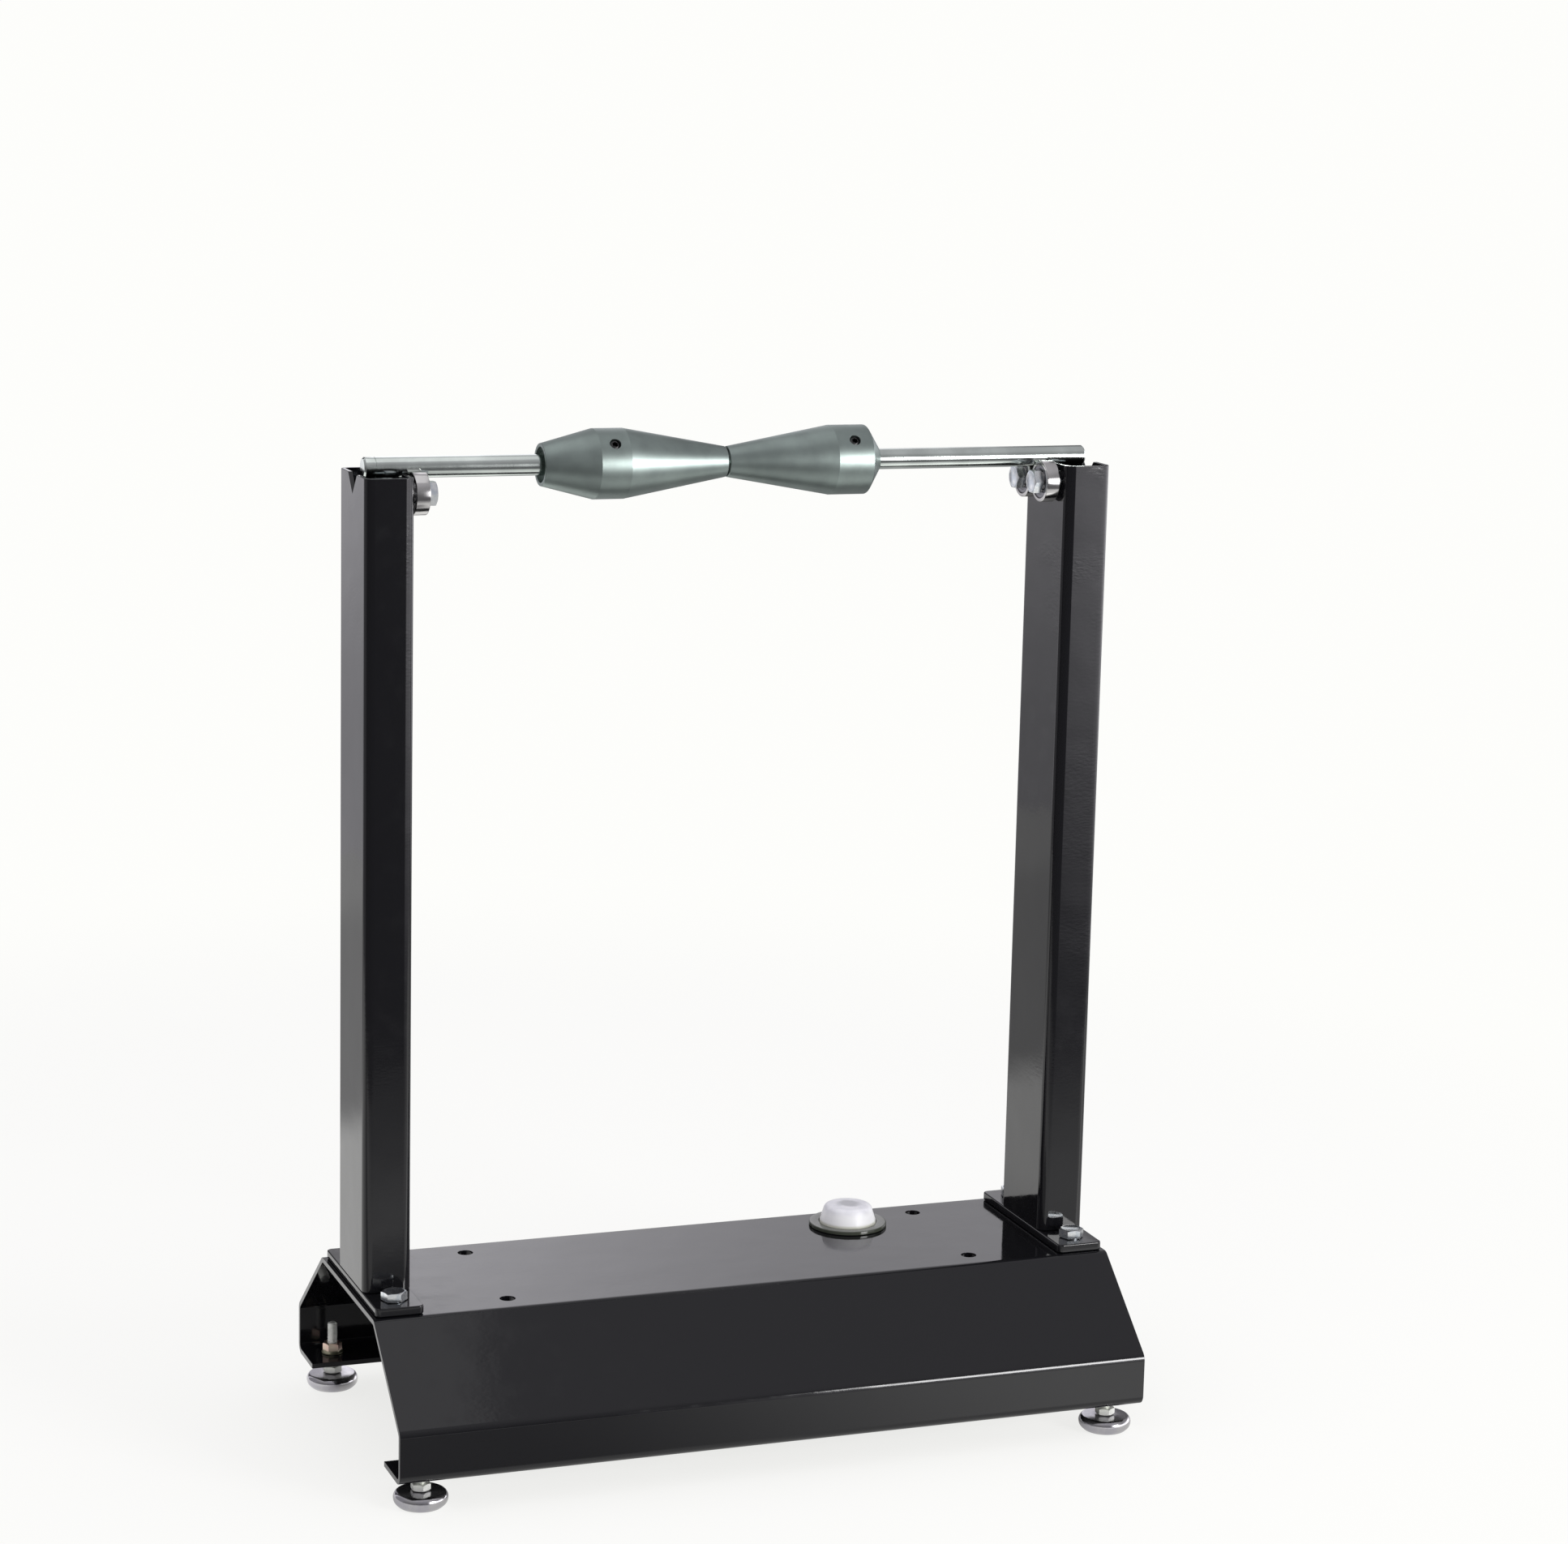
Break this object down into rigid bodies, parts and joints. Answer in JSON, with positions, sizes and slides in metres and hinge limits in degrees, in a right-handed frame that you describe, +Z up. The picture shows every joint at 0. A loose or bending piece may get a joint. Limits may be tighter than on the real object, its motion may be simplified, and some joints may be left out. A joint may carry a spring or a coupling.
{
  "type": "motorcycle wheel balancer",
  "caption": "Bench stand for static balancing of motorcycle wheels: bent sheet base, box uprights with ball bearing rollers, a shaft with two centring cones, a bubble level and levelling feet.",
  "frame": {"origin": "on the floor under the middle of the base, midway between the feet", "axes": "+Z up, +X along the shaft from the groove end to the plain end, -Y the front"},
  "size_m": [0.45, 0.236, 0.5855],
  "materials": {
    "black_paint": "gloss",
    "shaft_chrome": "polished",
    "cone_steel": "satin",
    "bearing_steel": "polished",
    "bright_zinc": "satin",
    "yellow_zinc": "satin",
    "foot_nickel": "polished",
    "screw_black": "satin",
    "level_clear": "gloss",
    "level_milky": "gloss",
    "level_dial": "satin"
  },
  "bodies": {
    "frame": {"base_channel": "black_paint", "left_upright": "black_paint", "left_upright_plate": "black_paint", "left_front_plate_bolt": "bright_zinc", "left_front_plate_nut": "bright_zinc", "left_front_roller_hub": "bearing_steel", "left_front_roller_spacer": "bright_zinc", "left_front_roller_bolt": "bright_zinc", "left_front_roller_nut": "bright_zinc", "left_front_foot_nut": "yellow_zinc", "left_rear_plate_bolt": "bright_zinc", "left_rear_plate_nut": "bright_zinc", "left_rear_roller_hub": "bearing_steel", "left_rear_roller_spacer": "bright_zinc", "left_rear_roller_bolt": "bright_zinc", "left_rear_roller_nut": "bright_zinc", "left_rear_foot_nut": "yellow_zinc", "right_upright": "black_paint", "right_upright_plate": "black_paint", "right_front_plate_bolt": "bright_zinc", "right_front_plate_nut": "bright_zinc", "right_front_roller_hub": "bearing_steel", "right_front_roller_spacer": "bright_zinc", "right_front_roller_bolt": "bright_zinc", "right_front_roller_nut": "bright_zinc", "right_front_foot_nut": "yellow_zinc", "right_rear_plate_bolt": "bright_zinc", "right_rear_plate_nut": "bright_zinc", "right_rear_roller_hub": "bearing_steel", "right_rear_roller_spacer": "bright_zinc", "right_rear_roller_bolt": "bright_zinc", "right_rear_roller_nut": "bright_zinc", "right_rear_foot_nut": "yellow_zinc", "level_flange": "level_clear", "level_vial": "level_milky", "level_dial": "level_dial"},
    "shaft": {"balancing_shaft": "shaft_chrome"},
    "left_cone": {"left_cone": "cone_steel"},
    "left_cone_screw": {"left_cone_screw": "screw_black"},
    "right_cone": {"right_cone": "cone_steel"},
    "right_cone_screw": {"right_cone_screw": "screw_black"},
    "left_front_roller": {"left_front_roller_ring": "bearing_steel"},
    "left_front_roller_cage": {"left_front_roller_balls": "bearing_steel"},
    "left_rear_roller": {"left_rear_roller_ring": "bearing_steel"},
    "left_rear_roller_cage": {"left_rear_roller_balls": "bearing_steel"},
    "right_front_roller": {"right_front_roller_ring": "bearing_steel"},
    "right_front_roller_cage": {"right_front_roller_balls": "bearing_steel"},
    "right_rear_roller": {"right_rear_roller_ring": "bearing_steel"},
    "right_rear_roller_cage": {"right_rear_roller_balls": "bearing_steel"},
    "left_front_foot": {"left_front_foot_pad": "foot_nickel"},
    "left_front_foot_stud": {"left_front_foot_stud": "bright_zinc"},
    "left_rear_foot": {"left_rear_foot_pad": "foot_nickel"},
    "left_rear_foot_stud": {"left_rear_foot_stud": "bright_zinc"},
    "right_front_foot": {"right_front_foot_pad": "foot_nickel"},
    "right_front_foot_stud": {"right_front_foot_stud": "bright_zinc"},
    "right_rear_foot": {"right_rear_foot_pad": "foot_nickel"},
    "right_rear_foot_stud": {"right_rear_foot_stud": "bright_zinc"}
  },
  "joints": [
    {"name": "shaft_spin", "type": "hinge", "parent": "frame", "child": "shaft", "pos_m": [0, 0, 0.5655], "axis": [1, 0, 0], "continuous": true},
    {"name": "left_cone_slide", "type": "slide", "parent": "shaft", "child": "left_cone", "axis": [1, 0, 0], "range_m": [-0.062, 0]},
    {"name": "left_cone_screw_turn", "type": "hinge", "parent": "left_cone", "child": "left_cone_screw", "pos_m": [-0.07615, 0, 0.5655], "axis": [0, -0.766, 0.6428], "range_deg": [0, 1080]},
    {"name": "right_cone_slide", "type": "slide", "parent": "shaft", "child": "right_cone", "axis": [1, 0, 0], "range_m": [0, 0.09]},
    {"name": "right_cone_screw_turn", "type": "hinge", "parent": "right_cone", "child": "right_cone_screw", "pos_m": [0.06775, 0, 0.5655], "axis": [0, -0.766, 0.6428], "range_deg": [0, 1080]},
    {"name": "left_front_roller_spin", "type": "hinge", "parent": "frame", "child": "left_front_roller", "pos_m": [-0.1889, -0.0126, 0.55223], "axis": [1, 0, 0], "continuous": true},
    {"name": "left_front_roller_cage_spin", "type": "hinge", "parent": "frame", "child": "left_front_roller_cage", "pos_m": [-0.1889, -0.0126, 0.55223], "axis": [1, 0, 0], "continuous": true},
    {"name": "left_rear_roller_spin", "type": "hinge", "parent": "frame", "child": "left_rear_roller", "pos_m": [-0.1889, 0.0126, 0.55223], "axis": [1, 0, 0], "continuous": true},
    {"name": "left_rear_roller_cage_spin", "type": "hinge", "parent": "frame", "child": "left_rear_roller_cage", "pos_m": [-0.1889, 0.0126, 0.55223], "axis": [1, 0, 0], "continuous": true},
    {"name": "right_front_roller_spin", "type": "hinge", "parent": "frame", "child": "right_front_roller", "pos_m": [0.1889, -0.0126, 0.55223], "axis": [1, 0, 0], "continuous": true},
    {"name": "right_front_roller_cage_spin", "type": "hinge", "parent": "frame", "child": "right_front_roller_cage", "pos_m": [0.1889, -0.0126, 0.55223], "axis": [1, 0, 0], "continuous": true},
    {"name": "right_rear_roller_spin", "type": "hinge", "parent": "frame", "child": "right_rear_roller", "pos_m": [0.1889, 0.0126, 0.55223], "axis": [1, 0, 0], "continuous": true},
    {"name": "right_rear_roller_cage_spin", "type": "hinge", "parent": "frame", "child": "right_rear_roller_cage", "pos_m": [0.1889, 0.0126, 0.55223], "axis": [1, 0, 0], "continuous": true},
    {"name": "left_front_foot_height", "type": "slide", "parent": "frame", "child": "left_front_foot", "axis": [0, 0, 1], "range_m": [-0.012, 0.004]},
    {"name": "left_front_foot_screw", "type": "hinge", "parent": "left_front_foot", "child": "left_front_foot_stud", "pos_m": [-0.2085, -0.101, 0], "axis": [0, 0, 1], "range_deg": [-4321, 1441]},
    {"name": "left_rear_foot_height", "type": "slide", "parent": "frame", "child": "left_rear_foot", "axis": [0, 0, 1], "range_m": [-0.012, 0.004]},
    {"name": "left_rear_foot_screw", "type": "hinge", "parent": "left_rear_foot", "child": "left_rear_foot_stud", "pos_m": [-0.2085, 0.101, 0], "axis": [0, 0, 1], "range_deg": [-4321, 1441]},
    {"name": "right_front_foot_height", "type": "slide", "parent": "frame", "child": "right_front_foot", "axis": [0, 0, 1], "range_m": [-0.012, 0.004]},
    {"name": "right_front_foot_screw", "type": "hinge", "parent": "right_front_foot", "child": "right_front_foot_stud", "pos_m": [0.2085, -0.101, 0], "axis": [0, 0, 1], "range_deg": [-4321, 1441]},
    {"name": "right_rear_foot_height", "type": "slide", "parent": "frame", "child": "right_rear_foot", "axis": [0, 0, 1], "range_m": [-0.012, 0.004]},
    {"name": "right_rear_foot_screw", "type": "hinge", "parent": "right_rear_foot", "child": "right_rear_foot_stud", "pos_m": [0.2085, 0.101, 0], "axis": [0, 0, 1], "range_deg": [-4321, 1441]}
  ],
  "couplings": [
    {"joint": "left_front_roller_spin", "follows": "shaft_spin", "ratio": -0.5},
    {"joint": "left_front_roller_cage_spin", "follows": "shaft_spin", "ratio": -0.30625},
    {"joint": "left_rear_roller_spin", "follows": "shaft_spin", "ratio": -0.5},
    {"joint": "left_rear_roller_cage_spin", "follows": "shaft_spin", "ratio": -0.30625},
    {"joint": "right_front_roller_spin", "follows": "shaft_spin", "ratio": -0.5},
    {"joint": "right_front_roller_cage_spin", "follows": "shaft_spin", "ratio": -0.30625},
    {"joint": "right_rear_roller_spin", "follows": "shaft_spin", "ratio": -0.5},
    {"joint": "right_rear_roller_cage_spin", "follows": "shaft_spin", "ratio": -0.30625},
    {"joint": "left_front_foot_screw", "follows": "left_front_foot_height", "rad_per_m": 6283.2},
    {"joint": "left_rear_foot_screw", "follows": "left_rear_foot_height", "rad_per_m": 6283.2},
    {"joint": "right_front_foot_screw", "follows": "right_front_foot_height", "rad_per_m": 6283.2},
    {"joint": "right_rear_foot_screw", "follows": "right_rear_foot_height", "rad_per_m": 6283.2}
  ]
}
